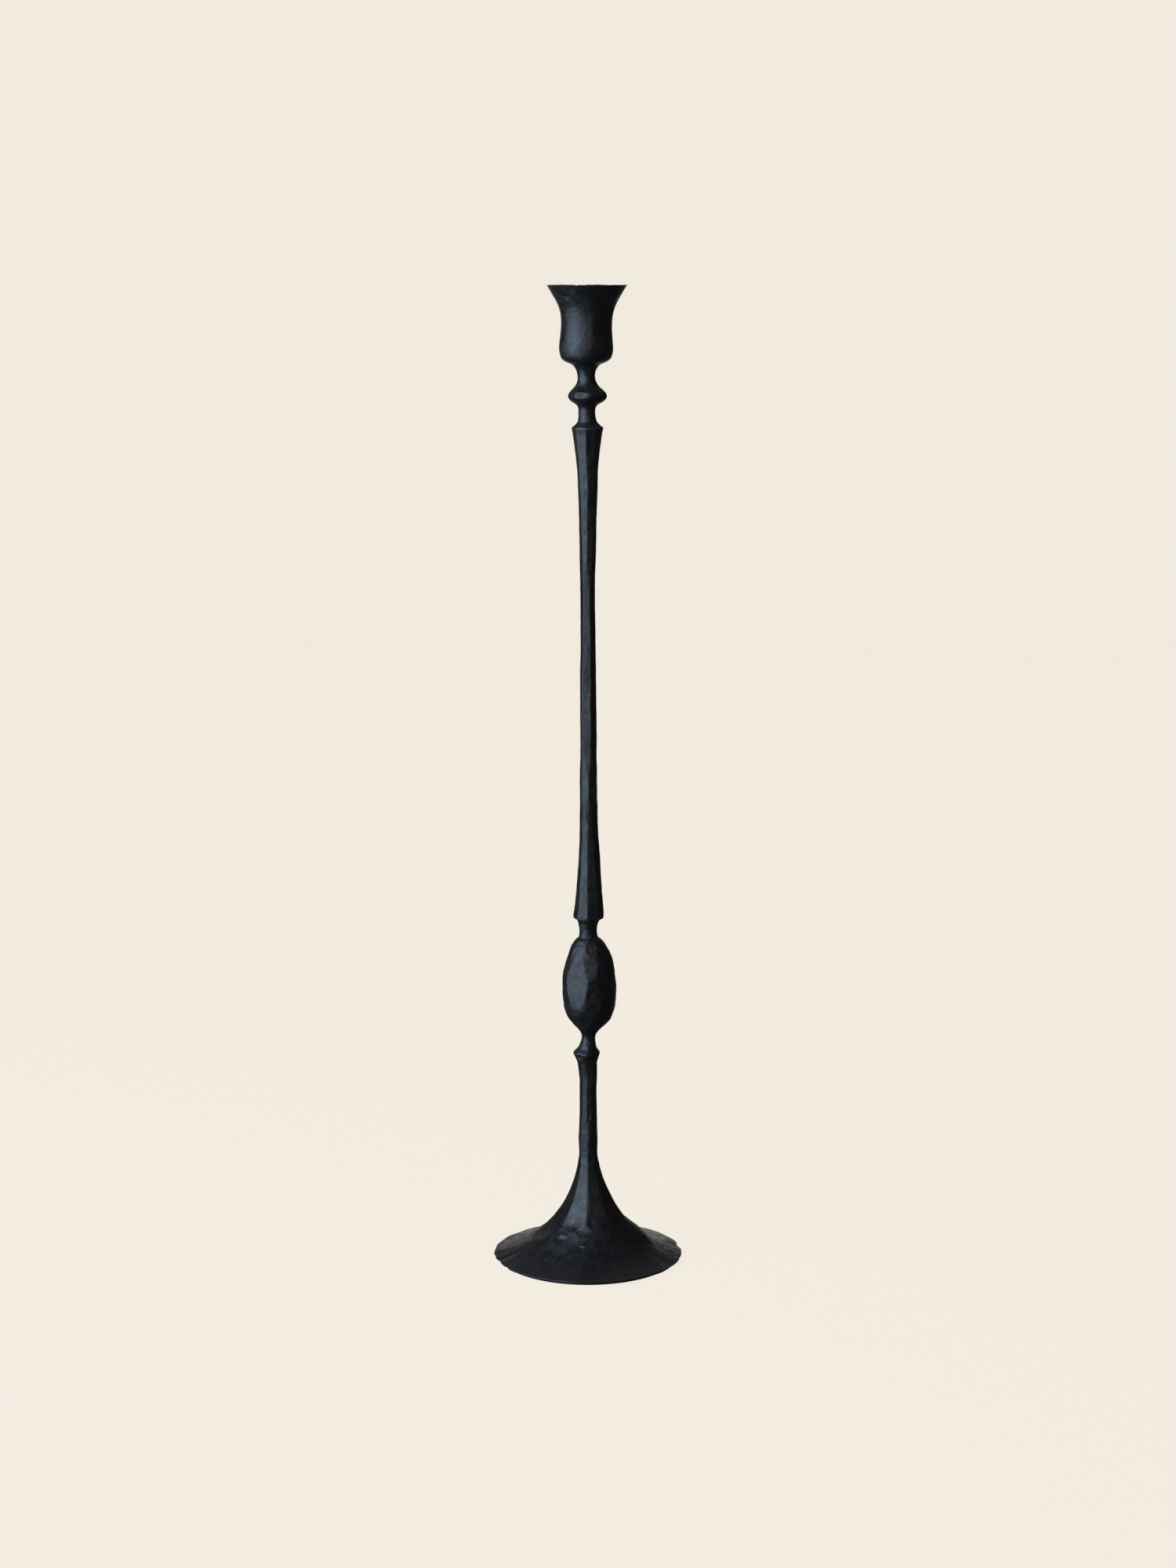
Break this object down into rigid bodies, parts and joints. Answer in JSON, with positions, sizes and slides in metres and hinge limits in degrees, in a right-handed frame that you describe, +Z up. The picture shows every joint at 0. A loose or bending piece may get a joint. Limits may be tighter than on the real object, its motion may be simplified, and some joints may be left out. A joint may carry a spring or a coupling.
{
  "type": "candlestick",
  "caption": "Tall slender hand-forged black iron taper candlestick: bell-mouthed cup, beaded neck, waisted eight-sided shaft, egg knop, slim stem and trumpet foot.",
  "frame": {"origin": "on the surface the candlestick stands on, under its centre line", "axes": "+Z up along the centre line; the front of the object faces -Y and +X is to its right"},
  "size_m": [0.118, 0.118, 0.6],
  "materials": {
    "black_iron": "hammered iron, blackened and waxed, soft satin sheen",
    "zinc_steel": "bright zinc-plated screw steel",
    "black_felt": "thin pressed black wool felt"
  },
  "bodies": {
    "root": {"candle_cup": "black_iron", "neck_knop": "black_iron", "tapered_shaft": "black_iron", "shaft_ferrule": "black_iron", "egg_knop": "black_iron", "stem_collar": "black_iron", "pedestal_stem": "black_iron", "flared_foot": "black_iron", "cup_screw": "zinc_steel", "neck_stud": "zinc_steel", "shaft_stud": "zinc_steel", "foot_bolt": "zinc_steel", "foot_washer": "zinc_steel", "foot_spring_washer": "zinc_steel", "felt_ring": "black_felt"}
  },
  "joints": []
}
